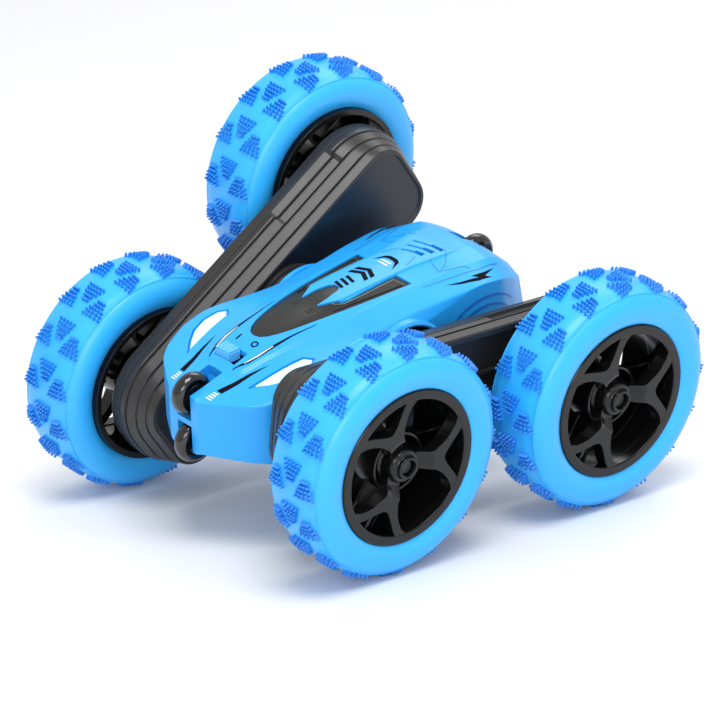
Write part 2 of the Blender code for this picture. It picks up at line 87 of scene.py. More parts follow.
# Half of one spoke, as (distance from the hub, half width): stem, outer edge of the fork, inner edge
SPOKE_HALF = (
    (1.0, 2.9), (5.5, 2.6), (8.0, 2.65), (10.2, 3.1), (12.0, 4.1), (13.6, 5.3), (15.2, 7.1), (16.5, 9.0),
    (17.2, 11.6), (19.3, 8.2), (18.0, 6.2), (16.3, 4.2), (14.9, 2.5), (14.0, 1.2), (13.6, 0.0),
)
SPOKE_DEPTH = 4.2
HUB_R = 3.4
HUB_BASE_R = 5.6
HUB_BORE_R = 2.4
HUB_FOOT_R = 6.4
HUB_LENGTH = 16.0
HUB_RING_R = (8.2, 9.0)
SCOOP_R = 9.5  # the spokes' faces dip inside this radius
SCOOP_LENGTH = 4.0
SCOOP_DEPTH = 2.6
WEB_HALF_W = 0.6
BLADE_HALF_W = 0.4
BLADE_Z = 5.4

# Side arm (mm)
TERRACES = 3
TERRACE_IN = 1.6
TERRACE_UP = 3.4
CORNER_R = (18.0, 15.4, 12.0, 8.2)  # corner radius of the outline at the edge and at each terrace inwards
NOTCH_X = (15.0, 16.2, 40.6, 41.8)
NOTCH_DEPTH = 1.1
PANEL_DEPTH = 12.5  # from the housing's open edge down to its sunk panel
PIVOT_BORE_R = 2.2
PIVOT_R = 13.0
COVER_FLOOR = 1.8
COVER_RIM = 3.7
COVER_BORE_R = 2.3
BOSS_RINGS = ((14.6, 0.9), (11.4, 0.9), (8.4, 1.6))  # (radius, height) round each axle
BOSS_RING_HALF_W = 0.6
BOSS_RIBS = 8
COVER_RIB_HALF_L = 26.0
COVER_RIBS_Z = (-6.0, 0.0, 6.0)

# Body (mm): each line is a list of (x, value) knots that a smooth curve runs through
BASE_HALF_W = (
    (-51, 16.6), (-45, 19.8), (-38, 22.0), (-28, 23.0), (-14, 23.0), (0, 22.8), (12, 23.0),
    (24, 24.5), (33, 25.5), (41, 25.5), (48, 24.0), (54, 20.0), (59, 13.0), (63, 6.5),
)
CREASE_HALF_W = (
    (-51, 16.2), (-45, 19.6), (-38, 22.0), (-28, 22.9), (-14, 21.9), (-6, 21.0), (7, 20.8), (14, 21.6),
    (24, 23.4), (33, 24.8), (41, 25.0), (48, 23.4), (54, 19.6), (59, 12.8), (63, 6.3),
)
CREASE_Z = (
    (-51, 9.6), (-45, 12.6), (-38, 15.2), (-28, 17.0), (-18, 17.0), (-6, 16.5), (0, 16.1), (7, 15.4),
    (14, 14.8), (24, 14.6), (33, 14.4), (41, 12.8), (48, 10.6), (54, 9.4), (59, 8.8), (63, 8.4),
)
CHAMFER = ((-51, 0.3), (-30, 0.3), (-17, 2.2), (-7, 3.6), (7, 3.2), (20, 1.8), (33, 0.8), (63, 0.3))
ROOF_HALF_W = (
    (-51, 11.6), (-45, 13.6), (-38, 14.6), (-28, 14.0), (-14, 13.0), (0, 12.4), (12, 12.2),
    (24, 11.4), (35, 10.2), (42.6, 8.8), (47.5, 7.8), (52, 6.2), (58, 5.4), (63, 4.8),
)
ROOF_Z = (
    (-51, 12.4), (-45, 17.0), (-38, 19.4), (-28, 20.0), (-14, 19.5), (0, 19.0), (12, 18.4),
    (24, 17.6), (36, 16.2), (45, 14.2), (48.6, 13.2), (49.4, 12.4), (55, 10.9), (59, 10.0), (63, 9.2),
)
ROOF_STEP = ((-51, 0.0), (10, 0.0), (24, 0.5), (36, 0.7), (48.6, 0.7), (49.4, 0.05), (63, 0.0))
FOOT_RISE = (
    (-51, 0.5), (-38, 1.2), (-20, 1.3), (0, 1.6), (16, 1.7), (30, 1.3), (40, 0.8), (48, 0.35), (63, 0.15),
)
PLATEAU_HALF_W = ((-51, 8.4), (-30, 8.6), (-14, 6.8), (8, 6.6), (20, 5.6), (36, 4.4), (49, 3.4), (63, 2.4))
PLATEAU_RISE = ((-51, 0.0), (-36, 0.0), (-28, 0.5), (9, 0.6), (19, 0.0), (63, 0.0))
CROWN = 0.25
BODY_ENDS_X = (-51.0, 63.0)
TAIL_LEAN = (-38.0, 0.011)  # from this x backwards, the tail leans forwards by this share of the height
WALL = 1.6
ROUNDING_SHARE = 0.45  # how much of an edge a rounded corner may take up
SUNK_LIFT = -0.45  # windows and headlight bowls lie this far under the skin
PANE_LIFT = -0.12
PANE_EDGE_HIGHLIGHT_LIFT = -0.04
DECAL_LIFT = 0.06
DECAL_LAYER = 0.02  # how much higher each kind of mark lies than the one before

# Looks (noise in cycles per metre, depths in metres)
DRIFT_SCALE = 35.0
GLOSS_SCALE = 120.0
GRAIN_SCALE = 3000.0
LAMP_SCALE = 350.0
FLOOR_SCALE = 3.0
GRAIN_DEPTH = 0.0002
GLOSS_SPREAD = 0.15
COAT_ROUGHNESS = 0.08

# Camera, in the left arm's frame: place (mm), angles (degrees) and focal length
CAMERA_AT = (954.8, 1033.6, 651.1)
CAMERA_AZIMUTH = 137.178
CAMERA_ELEVATION = 25.01
CAMERA_ROLL = 4.965
CAMERA_LENS = 268.0
CAMERA_SENSOR = 36.0

LIGHT_TARGET = (0, 0, 0.05)  # metres
FLOOR_HALF = 12.0


# Frames

SWAP_YZ = Matrix(((1, 0, 0, 0), (0, 0, 1, 0), (0, 1, 0, 0), (0, 0, 0, 1)))


def place(name):
    return Vector(JOINTS[name]["pos_m"])


def frame_at(origin, forward, left):
    """A frame in millimetres whose +X runs forward and whose +Y runs left."""
    y = left.normalized()
    x = (forward - y * forward.dot(y)).normalized()
    turn = Matrix((x, y, x.cross(y))).transposed().to_4x4()
    return Matrix.Translation(origin) @ turn @ Matrix.Scale(MM, 4)


def arm_frame(hand):
    forward = place(f"{hand}_front_wheel_spin") - place(f"{hand}_rear_wheel_spin")
    return frame_at(place(f"{hand}_arm_turn"), forward, Vector(JOINTS[f"{hand}_arm_turn"]["axis"]))


def roller_middle(end):
    return (place(f"{end}_upper_roller_spin") + place(f"{end}_lower_roller_spin")) / 2


ARMS = {hand: arm_frame(hand) for hand in ("left", "right")}
BODY = frame_at(
    place("left_arm_turn"), roller_middle("front") - roller_middle("rear"),
    Vector(JOINTS["front_upper_roller_spin"]["axis"]),
)


def extent(node, in_frame):
    """Lowest and highest corner of a CAD node in one of the frames, in millimetres."""
    inverse = in_frame.inverted()
    points = [inverse @ vertex.co for vertex in frame["nodes"][node].data.vertices]
    low = Vector([min(p[i] for p in points) for i in range(3)])
    high = Vector([max(p[i] for p in points) for i in range(3)])
    return low, high


LEFT = ARMS["left"]
TYRE_LOW, TYRE_HIGH = extent("left_front_tyre", LEFT)
RIM_LOW, RIM_HIGH = extent("left_front_rim", LEFT)
HOUSING_LOW, HOUSING_HIGH = extent("left_arm_housing", LEFT)
COVER_LOW, COVER_HIGH = extent("left_arm_cover", LEFT)
HALF_WHEELBASE = (LEFT.inverted() @ place("left_front_wheel_spin")).x
TYRE_R = (TYRE_HIGH.x - TYRE_LOW.x) / 2
RIM_R = (RIM_HIGH.x - RIM_LOW.x) / 2
TYRE_MID_Y = (TYRE_LOW.y + TYRE_HIGH.y) / 2
RIM_FACE_Y = RIM_HIGH.y - 0.3
LIP_R = RIM_R - 3.0


# Mesh tools: every one returns a bmesh in millimetres

def loft(rings, capped=True):
    """Rings of the same number of points, joined in order."""
    bm = bmesh.new()
    loops = [[bm.verts.new(p) for p in ring] for ring in rings]
    count = len(loops[0])
    for low, high in zip(loops, loops[1:]):
        for i in range(count):
            j = (i + 1) % count
            bm.faces.new((low[i], low[j], high[j], high[i]))
    if capped:
        bm.faces.new(list(reversed(loops[0])))
        bm.faces.new(loops[-1])
    bmesh.ops.recalc_face_normals(bm, faces=bm.faces)
    return bm


def lathe(profile, steps, x=0.0):
    """A closed (radius, y) outline turned about the line along Y through (x, 0)."""
    turn = 2 * math.pi / steps
    rings = [
        [(x + r * math.cos(turn * k), y, r * math.sin(turn * k)) for r, y in profile]
        for k in range(steps)
    ]
    rings.append(rings[0])
    bm = loft(rings, capped=False)
    bmesh.ops.remove_doubles(bm, verts=bm.verts, dist=TINY)
    bmesh.ops.recalc_face_normals(bm, faces=bm.faces)
    return bm


def prism(outline, low, high, along="z"):
    """An outline extruded along z from (x, y) points, or along y from (x, z) points."""
    if along == "z":
        return loft([[(a, b, level) for a, b in outline] for level in (low, high)])
    return loft([[(a, level, b) for a, b in outline] for level in (low, high)])


def box(x0, x1, y0, y1, z0, z1):
    return prism(((x0, y0), (x1, y0), (x1, y1), (x0, y1)), z0, z1)


def circle(radius, steps):
    turn = 2 * math.pi / steps
    return [(radius * math.cos(turn * k), radius * math.sin(turn * k)) for k in range(steps)]


def mirrored(bm, axis):
    scale = [1.0, 1.0, 1.0]
    scale["xyz".index(axis)] = -1.0
    bmesh.ops.transform(bm, matrix=Matrix.Diagonal((*scale, 1.0)), verts=bm.verts)
    bmesh.ops.reverse_faces(bm, faces=bm.faces)
    return bm


def merged(parts):
    """One bmesh that holds them all."""
    whole = bmesh.new()
    for part in parts:
        mesh = bpy.data.meshes.new("part")
        part.to_mesh(mesh)
        part.free()
        whole.from_mesh(mesh)
        bpy.data.meshes.remove(mesh)
    return whole


def rounded(points, radii, steps=3):
    """An open outline with its inner corners rounded to those radii."""
    out = [points[0]]
    for before, corner, after, radius in zip(points, points[1:], points[2:], radii):
        before, corner, after = Vector(before), Vector(corner), Vector(after)
        room = min((before - corner).length, (after - corner).length)
        reach = min(radius, room * ROUNDING_SHARE)
        start = corner + (before - corner).normalized() * reach
        end = corner + (after - corner).normalized() * reach
        for k in range(steps + 1):
            t = k / steps
            out.append(tuple(start * (1 - t) ** 2 + corner * 2 * t * (1 - t) + end * t * t))
    return out + [points[-1]]


def smooth_curve(knots, x):
    """The value at x of a smooth curve through the knots that never overshoots them."""
    if x <= knots[0][0]:
        return knots[0][1]
    if x >= knots[-1][0]:
        return knots[-1][1]
    spans = [(b[0] - a[0], (b[1] - a[1]) / (b[0] - a[0])) for a, b in zip(knots, knots[1:])]
    slopes = [spans[0][1]]
    for (_, a), (_, b) in zip(spans, spans[1:]):
        slopes.append(2 * a * b / (a + b) if a * b > 0 else 0.0)
    slopes.append(spans[-1][1])
    for i, (width, _) in enumerate(spans):
        x0, y0 = knots[i]
        x1, y1 = knots[i + 1]
        if x0 <= x <= x1:
            t = (x - x0) / width
            return (
                y0 * (1 + 2 * t) * (1 - t) ** 2 + slopes[i] * width * t * (1 - t) ** 2
                + y1 * t * t * (3 - 2 * t) + slopes[i + 1] * width * t * t * (t - 1)
            )
    return knots[-1][1]


# Materials

def principled(name, colour, roughness, metallic=0.0, coat=0.0):
    """A Principled material, its shader and its tree."""
    made = bpy.data.materials.new(name)
    made.use_nodes = True
    shader = made.node_tree.nodes["Principled BSDF"]
    shader.inputs["Base Color"].default_value = (*colour, 1.0)
    shader.inputs["Roughness"].default_value = roughness
    shader.inputs["Metallic"].default_value = metallic
    shader.inputs["Coat Weight"].default_value = coat
    shader.inputs["Coat Roughness"].default_value = COAT_ROUGHNESS
    return made, shader, made.node_tree


def noise(tree, scale, detail=3.0):
    """A noise texture in object coordinates."""
    texture = tree.nodes.new("ShaderNodeTexNoise")
    texture.inputs["Scale"].default_value = scale
    texture.inputs["Detail"].default_value = detail
    coordinates = tree.nodes.new("ShaderNodeTexCoord")
    tree.links.new(coordinates.outputs["Object"], texture.inputs["Vector"])
    return texture


def drifting(tree, shader, first, second, scale):
    """A base colour that wanders between two colours."""
    mix = tree.nodes.new("ShaderNodeMix")
    mix.data_type = "RGBA"
    mix.inputs["A"].default_value = (*first, 1.0)
    mix.inputs["B"].default_value = (*second, 1.0)
    tree.links.new(noise(tree, scale).outputs["Fac"], mix.inputs["Factor"])
    tree.links.new(mix.outputs["Result"], shader.inputs["Base Color"])


def moulded(name, colour, roughness, coat=0.0, grain=0.02, tint=0.06, metallic=0.0, shine=0.5):
    """Moulded plastic or rubber: a slight drift of colour and gloss, and a fine surface grain."""
    made, shader, tree = principled(name, colour, roughness, metallic, coat)
    shader.inputs["Specular IOR Level"].default_value = shine
    darker = [c * (1 - tint) for c in colour]
    lighter = [min(1.0, c * (1 + tint)) for c in colour]
    drifting(tree, shader, darker, lighter, DRIFT_SCALE)
    gloss = tree.nodes.new("ShaderNodeMapRange")
    gloss.inputs["To Min"].default_value = roughness * (1 - GLOSS_SPREAD)
    gloss.inputs["To Max"].default_value = min(1.0, roughness * (1 + GLOSS_SPREAD))
    tree.links.new(noise(tree, GLOSS_SCALE).outputs["Fac"], gloss.inputs["Value"])
    tree.links.new(gloss.outputs["Result"], shader.inputs["Roughness"])
    bump = tree.nodes.new("ShaderNodeBump")
    bump.inputs["Strength"].default_value = grain
    bump.inputs["Distance"].default_value = GRAIN_DEPTH
    tree.links.new(noise(tree, GRAIN_SCALE, 2.0).outputs["Fac"], bump.inputs["Height"])
    tree.links.new(bump.outputs["Normal"], shader.inputs["Normal"])
    return made


def glowing(name, colour, strength):
    """A lit surface whose brightness drifts a little over it, as over a headlight's reflector."""
    made, shader, tree = principled(name, colour, 0.2)
    level = tree.nodes.new("ShaderNodeMapRange")
    level.inputs["To Min"].default_value = strength * 0.2
    level.inputs["To Max"].default_value = strength * 1.9
    tree.links.new(noise(tree, LAMP_SCALE).outputs["Fac"], level.inputs["Value"])
    tree.links.new(level.outputs["Result"], shader.inputs["Emission Strength"])
    shader.inputs["Emission Color"].default_value = (*colour, 1.0)
    return made


LOOKS = {
    "shell": moulded("shell_blue", (0.02, 0.36, 0.9), 0.3, coat=0.05, shine=0.4),
    # groove: a darker blue laid as thin strips over seams and flank grooves, as painted shade inside them
    "groove": moulded("painted_groove_shade", (0.01, 0.16, 0.6), 0.4),
    "tyre": moulded("tyre_rubber", (0.028, 0.42, 0.93), 0.34, grain=0.05),
    # stud: the stud sides, a darker copy of the tyre's blue as painted shade; stud_tip: a lighter copy on
    # their tips as painted light
    "stud": moulded("stud_side_painted_shade", (0.012, 0.215, 0.72), 0.45),
    "stud_tip": moulded("stud_tip_painted_light", (0.03, 0.36, 0.95), 0.45),
    "rim": moulded("rim_black", (0.004, 0.004, 0.0042), 0.2, shine=0.38),
    "arm": moulded("arm_charcoal", (0.021, 0.02, 0.0195), 0.34, grain=0.06),
    "panel": moulded("arm_panel", (0.005, 0.0085, 0.014), 0.32, grain=0.03),
    "roller": moulded("roller_black", (0.005, 0.0045, 0.0045), 0.12, coat=0.5),
    "window": moulded("window_smoke", (0.02, 0.02, 0.017), 0.3, grain=0.0, shine=0.32),
    # a pale line painted along the edge of each window pane as a highlight
    "pane_edge_highlight": moulded("window_painted_edge_highlight", (0.16, 0.18, 0.14), 0.3),
    "knob": moulded("knob_blue", (0.1, 0.5, 0.98), 0.35),
    "ink": moulded("decal_black", (0.002, 0.002, 0.003), 0.6, shine=0.08),
    "white": moulded("decal_white", (0.9, 0.9, 0.9), 0.3, tint=0.02),
    "lamp": glowing("headlight_glow", (0.5, 0.84, 1.0), 0.42),
    "bezel": moulded("headlight_bezel", (0.02, 0.25, 0.8), 0.25),
    "nylon": moulded("nylon", (0.72, 0.72, 0.68), 0.45),
    "steel": moulded("steel", (0.55, 0.55, 0.57), 0.28, metallic=1.0, tint=0.1),
    # inner: black for the hidden inner parts, and painted shade in the hubs' bores, where the axle takes it
    "inner": moulded("inner_black_and_painted_bore_shade", (0.02, 0.02, 0.021), 0.4),
    "battery": moulded("battery_wrap", (0.04, 0.22, 0.12), 0.3),
    "board": moulded("board_green", (0.015, 0.16, 0.07), 0.35),
}


# Piece tools

def piece(name, bm, in_frame, looks, body, nodes=(), bevel=0.0, angle=32.0):
    """A finished piece from a bmesh in a frame's millimetres, riding on a CAD body."""
    bm.transform(in_frame)
    mesh = bpy.data.meshes.new(name)
    bm.to_mesh(mesh)
    bm.free()
    for look in looks:
        mesh.materials.append(LOOKS[look])
    made = bpy.data.objects.new(name, mesh)
    bpy.context.collection.objects.link(made)
    mesh.shade_smooth()
    mesh.set_sharp_from_angle(angle=math.radians(angle))
    if bevel:
        edge = made.modifiers.new("bevel", "BEVEL")
        edge.width = bevel * MM
        edge.segments = 2
        edge.limit_method = "ANGLE"
        edge.angle_limit = math.radians(angle)
        edge.harden_normals = True
    if nodes:
        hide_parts(*nodes)
    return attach(made, body)


def carved(bm, cutters):
    """The bmesh with the cutters taken out of it, one after another."""
    target = temporary(bm)
    for cutter in cutters:
        helper = temporary(cutter)
        boolean = target.modifiers.new("cut", "BOOLEAN")
        boolean.operation = "DIFFERENCE"
        boolean.solver = "EXACT"
        boolean.object = helper
        bake(target)
        discard(helper)
    result = bmesh.new()
    result.from_mesh(target.data)
    discard(target)
    return result


def temporary(bm):
    mesh = bpy.data.meshes.new("temporary")
    bm.to_mesh(mesh)
    bm.free()
    made = bpy.data.objects.new("temporary", mesh)
    bpy.context.collection.objects.link(made)
    return made


def bake(target):
    """Applies the object's modifiers to its mesh."""
    scene_graph = bpy.context.evaluated_depsgraph_get()
    mesh = bpy.data.meshes.new_from_object(target.evaluated_get(scene_graph))
    target.modifiers.clear()
    target.data = mesh


def discard(made):
    mesh = made.data
    bpy.data.objects.remove(made)
    bpy.data.meshes.remove(mesh)


# Wheels

def tread_radius(offset):
    """Radius of the tread's base at that distance from the tyre's middle."""
    return TYRE_R - STUD_HEIGHT - max(0.0, abs(offset) - TREAD_FLAT) * TREAD_FALL


def tyre_profile():
    """(radius, y) of the tyre: crowned tread, a fine ridge at its edge, and a full oval sidewall."""
    edge_r = tread_radius(TREAD_HALF_W)
    reach, out = SIDEWALL
    first, step, count = SIDEWALL_ARC
    middle_r = edge_r - 0.25 - reach * math.cos(math.radians(first))
    base = TYRE_HIGH.y - TYRE_MID_Y - out
    side = [
        (edge_r + 0.05, TREAD_HALF_W), (edge_r + 0.1, TREAD_HALF_W + 0.25),
        (edge_r - 0.1, TREAD_HALF_W + 0.4), (edge_r - 0.3, TREAD_HALF_W + 0.3),
    ]
    for k in range(count):
        a = math.radians(first + step * k)
        r = middle_r + reach * math.cos(a)
        if r > RIM_R + 0.5:
            side.append((r, base + out * math.sin(a)))
    side.append((RIM_R + 0.15, RIM_FACE_Y - TYRE_MID_Y - 0.5))
    side.append((RIM_R - 0.2, RIM_FACE_Y - TYRE_MID_Y - 1.6))
    tread = [(tread_radius(o), o) for o in (-8.2, -7.0, -TREAD_FLAT, 0.0, TREAD_FLAT, 7.0, 8.2)]
    left = [(r, -o) for r, o in reversed(side)]
    return [(r, TYRE_MID_Y + o) for r, o in left + tread + side]


def stud_patch(angle, column, flip):
    """Studs of one fan-shaped patch, as (angle, offset across the tyre)."""
    rows, across = STUD_GRID
    narrow, wide = FAN
    for i in range(rows):
        along = (i - (rows - 1) / 2) * STUD_PITCH
        share = (i if flip else rows - 1 - i) / (rows - 1)
        spread = narrow + (wide - narrow) * share
        count = across if share < 0.4 else across + 1
        for j in range(count):
            side = (j - (count - 1) / 2) * STUD_PITCH * spread * STUD_SQUEEZE
            yield angle + along / TYRE_R, column * PATCH_COLUMN_Y + side


def studs():
    """Every stud of one tyre: a short six-sided peg on the tread."""
    bm = bmesh.new()
    step = 2 * math.pi / STUD_ROWS
    for row in range(STUD_ROWS):
        for column in (-1, 0, 1):
            centre = row * step + (step * MIDDLE_SHIFT if column == 0 else 0.0)
            for angle, offset in stud_patch(centre, column, column == 0):
                add_stud(bm, angle, offset)
    return bm


def add_stud(bm, angle, offset):
    base_r = tread_radius(offset)
    out = Vector((math.cos(angle), 0.0, math.sin(angle)))
    along = Vector((-math.sin(angle), 0.0, math.cos(angle)))
    across = Vector((0.0, 1.0, 0.0))
    rings = []
    shape = ((STUD_R, -STUD_ROOT), (STUD_R * 0.82, STUD_HEIGHT * 0.8), (STUD_R * 0.55, STUD_HEIGHT))
    for radius, height in shape:
        centre = out * (base_r + height) + across * (TYRE_MID_Y + offset)
        ring = []
        for k in range(STUD_SIDES):
            turn = 2 * math.pi * k / STUD_SIDES
            ring.append(bm.verts.new(centre + (along * math.cos(turn) + across * math.sin(turn)) * radius))
        rings.append(ring)
    for low, high in zip(rings, rings[1:]):
        for i in range(STUD_SIDES):
            j = (i + 1) % STUD_SIDES
            bm.faces.new((low[i], low[j], high[j], high[i]))
    tip = bm.faces.new(rings[-1])
    # the tip takes the lighter copy of the rubber's blue as painted light; the sides keep the darker painted
    # shade
    tip.material_index = 2


def tyre():
    """Tyre body and studs in one bmesh; the studs and their tips take materials of their own: the stud sides
    a darker copy of the tyre's blue as painted shade, the tips a lighter one as painted light.
    """
    body = lathe(tyre_profile(), 120)
    pegs = studs()
    for face in pegs.faces:
        face.material_index = max(1, face.material_index)
    bmesh.ops.recalc_face_normals(pegs, faces=pegs.faces)
    return merged([body, pegs])


def spoke():
    """One spoke along +X: its face lies flush with the lip and dips in a smooth scoop near the hub."""
    face = RIM_FACE_Y
    outline = list(SPOKE_HALF) + [(x, -z) for x, z in reversed(SPOKE_HALF[:-1])]
    front = sheet(outline, lambda x, z: face - 0.15 - scoop(math.hypot(x, z)), 0.9)
    back = skirt(front, SPOKE_DEPTH)
    bmesh.ops.transform(back, matrix=SWAP_YZ, verts=back.verts)
    bmesh.ops.recalc_face_normals(back, faces=back.faces)
    return back


def scoop(r):
    """How deep a spoke's face lies under the lip at that distance from the axle."""
    if r > SCOOP_R:
        return 0.0
    share = min(1.0, (SCOOP_R - r) / SCOOP_LENGTH)
    return SCOOP_DEPTH * share * share * (3 - 2 * share)


def rim():
    """Barrel with a flat lip, forked spokes, ribs behind them, and a hub tube with an open bore."""
    back, face = RIM_LOW.y, RIM_FACE_Y
    inner = LIP_R
    barrel = lathe((
        (RIM_R, back), (RIM_R, face - 0.4), (RIM_R - 0.35, face), (inner + 0.3, face),
        (inner, face - 0.3), (inner + 0.1, face - 3.6), (inner + 0.5, face - 4.0), (inner + 0.5, face - 11.0),
        (inner + 1.0, face - 11.6), (inner + 1.0, back + 0.4), (inner + 1.3, back),
    ), 96)
    tip = RIM_HIGH.y
    collar = lathe((
        (HUB_BORE_R, face - HUB_LENGTH), (HUB_FOOT_R, face - HUB_LENGTH), (HUB_FOOT_R, face - 6.0),
        (HUB_BASE_R, face - 5.4), (HUB_BASE_R - 0.3, face - 2.4), (4.6, face - 1.4),
        (HUB_R + 0.3, face - 1.2), (HUB_R, face - 0.8),
        (HUB_R, tip - 0.3), (HUB_R - 0.3, tip), (HUB_BORE_R + 0.2, tip), (HUB_BORE_R, tip - 0.3),
    ), 48)
    ring_in, ring_out = HUB_RING_R
    ring = lathe((
        (ring_in, face - 13.0), (ring_out, face - 13.0), (ring_out, face - 4.4), (ring_in, face - 4.4),
    ), 48)
    parts = [barrel, collar, ring]
    for k in range(SPOKES):
        angle = math.pi + 2 * math.pi * k / SPOKES
        web = box(5.0, inner + 0.8, face - 13.5, face - 4.2, -WEB_HALF_W, WEB_HALF_W)
        blades = [
            box(8.6, inner + 0.8, face - 10.5, face - 7.0, z - BLADE_HALF_W, z + BLADE_HALF_W)
            for z in (-BLADE_Z, BLADE_Z)
        ]
        for part in (spoke(), web, *blades):
            bmesh.ops.rotate(part, matrix=Matrix.Rotation(-angle, 3, "Y"), verts=part.verts)
            parts.append(part)
    return merged(parts)


def wheels():
    for hand in ("left", "right"):
        for end, sign in (("front", 1), ("rear", -1)):
            tyre_bm, rim_bm = tyre(), rim()
            if hand == "right":
                mirrored(tyre_bm, "y")
                mirrored(rim_bm, "y")
            at = ARMS[hand] @ Matrix.Translation((sign * HALF_WHEELBASE, 0, 0))
            body = f"{hand}_{end}_wheel"
            looks = ("tyre", "stud", "stud_tip")
            piece(f"{body}_tyre", tyre_bm, at, looks, body, [f"{hand}_{end}_tyre"])
            piece(f"{body}_rim", rim_bm, at, ("rim",), body, [f"{hand}_{end}_rim"], 0.2)


# Side arms

def arm_outline(level, notch=0.0):
    """(x, z) outline of an arm at a terrace: a long rounded rectangle that may have notched long edges."""
    inset = level * TERRACE_IN
    end_x, edge = HOUSING_HIGH.x - inset, HOUSING_HIGH.z - inset
    low = min(len(CORNER_R) - 1, max(0, int(level)))
    high = min(len(CORNER_R) - 1, low + 1)
    radius = CORNER_R[low] + (CORNER_R[high] - CORNER_R[low]) * (max(0.0, level) - low)
    half = []
    for start, z in ((0, edge - radius), (90, radius - edge)):
        for k in range(13):
            a = math.radians(start + 7.5 * k)
            half.append((end_x - radius + radius * math.sin(a), z + radius * math.cos(a)))
    levels = (edge, edge - notch, edge - notch, edge)
    half += [(x, -z) for x, z in zip(reversed(NOTCH_X), levels)]
    return half + [(-x, -z) for x, z in half]


def arm_shell():
    """Inner housing: sunk panel, three grooved terraces, plain outer wall notched along its edge."""
    y = HOUSING_HIGH.y - PANEL_DEPTH
    level = float(TERRACES)
    levels = [(level + 0.75, y + 0.6, 0), (level + 0.45, y + 0.05, 0), (level + 0.15, y, 0)]
    for k in range(TERRACES):
        notch = NOTCH_DEPTH if k == TERRACES - 1 else 0.0
        levels += [
            (level - 0.1, y + 0.15, notch), (level - 0.8, y + 2.45, notch), (level - 0.5, y + 2.6, notch),
            (level - 0.5, y + 3.05, notch), (level - 0.98, y + 3.15, notch),
        ]
        level -= 1.0
        y += TERRACE_UP
    levels += [(0.15, y + 0.1, NOTCH_DEPTH), (0.0, y + 0.5, NOTCH_DEPTH), (0.0, HOUSING_HIGH.y - 0.1, 0)]
    rings = [[(x, y, z) for x, z in arm_outline(level, notch)] for level, y, notch in levels]
    bm = loft(rings)
    for face in bm.faces:
        if len(face.verts) > 4 and face.calc_center_median().y < HOUSING_HIGH.y - 5.0:
            face.material_index = 1
    return bm


def pivot_boss():
    """The stepped boss that turns in the body's side, with its bore along Y."""
    low = HOUSING_LOW.y
    root = HOUSING_HIGH.y - 12.0
    step = low + 8.0
    return lathe((
        (PIVOT_BORE_R, low), (5.0, low), (5.0, step), (11.6, step), (PIVOT_R, step + 0.8),
        (PIVOT_R, root - 2.6), (PIVOT_R - 0.6, root - 2.3), (PIVOT_R - 0.6, root - 1.7),
        (PIVOT_R + 0.6, root - 1.3), (PIVOT_R + 0.6, root + 0.4), (PIVOT_BORE_R, root + 0.4),
    ), 72)


def arm_cover():
    """Outer cover: rim, long ribs, and ringed bosses round both axles."""
    low, floor = COVER_LOW.y, COVER_LOW.y + COVER_FLOOR
    rim_top = COVER_LOW.y + COVER_RIM
    plate = loft([
        [(x, y, z) for x, z in arm_outline(level)]
        for level, y in (
            (0.1, low), (0.1, rim_top - 0.5), (0.4, rim_top), (1.4, rim_top), (1.6, rim_top - 0.4),
            (1.75, floor),
        )
    ])
    parts = [plate]
    for x in (-HALF_WHEELBASE, HALF_WHEELBASE):
        for radius, top in BOSS_RINGS:
            parts.append(lathe((
                (radius - BOSS_RING_HALF_W, floor - ROOT), (radius + BOSS_RING_HALF_W, floor - ROOT),
                (radius + 0.35, floor + top), (radius - 0.35, floor + top),
            ), 64, x))
        parts.append(lathe((
            (COVER_BORE_R, floor - ROOT), (6.0, floor - ROOT), (5.2, floor + 2.4), (5.0, COVER_HIGH.y - 0.3),
            (4.7, COVER_HIGH.y), (2.6, COVER_HIGH.y), (COVER_BORE_R, COVER_HIGH.y - 0.4),
        ), 40, x))
        for k in range(BOSS_RIBS):
            rib = box(5.0, BOSS_RINGS[0][0], floor - ROOT, floor + 1.4, -0.45, 0.45)
            turn = Matrix.Rotation(2 * math.pi * (k + 0.5) / BOSS_RIBS, 4, "Y")
            bmesh.ops.transform(rib, matrix=Matrix.Translation((x, 0, 0)) @ turn, verts=rib.verts)
            parts.append(rib)
    for z in COVER_RIBS_Z:
        parts.append(box(-COVER_RIB_HALF_L, COVER_RIB_HALF_L, floor - ROOT, floor + 1.3, z - 0.5, z + 0.5))
    return merged(parts)


def arms():
    for hand in ("left", "right"):
        body = f"{hand}_arm"
        housing = merged([arm_shell(), pivot_boss()])
        cover = arm_cover()
        if hand == "right":
            mirrored(housing, "y")
            mirrored(cover, "y")
        at = ARMS[hand]
        inner_node, outer_node = [f"{hand}_arm_housing"], [f"{hand}_arm_cover"]
        piece(f"{body}_inner_half", housing, at, ("arm", "panel"), body, inner_node, 0.18, 25)
        piece(f"{body}_outer_half", cover, at, ("arm",), body, outer_node, 0.2)


# Body shells

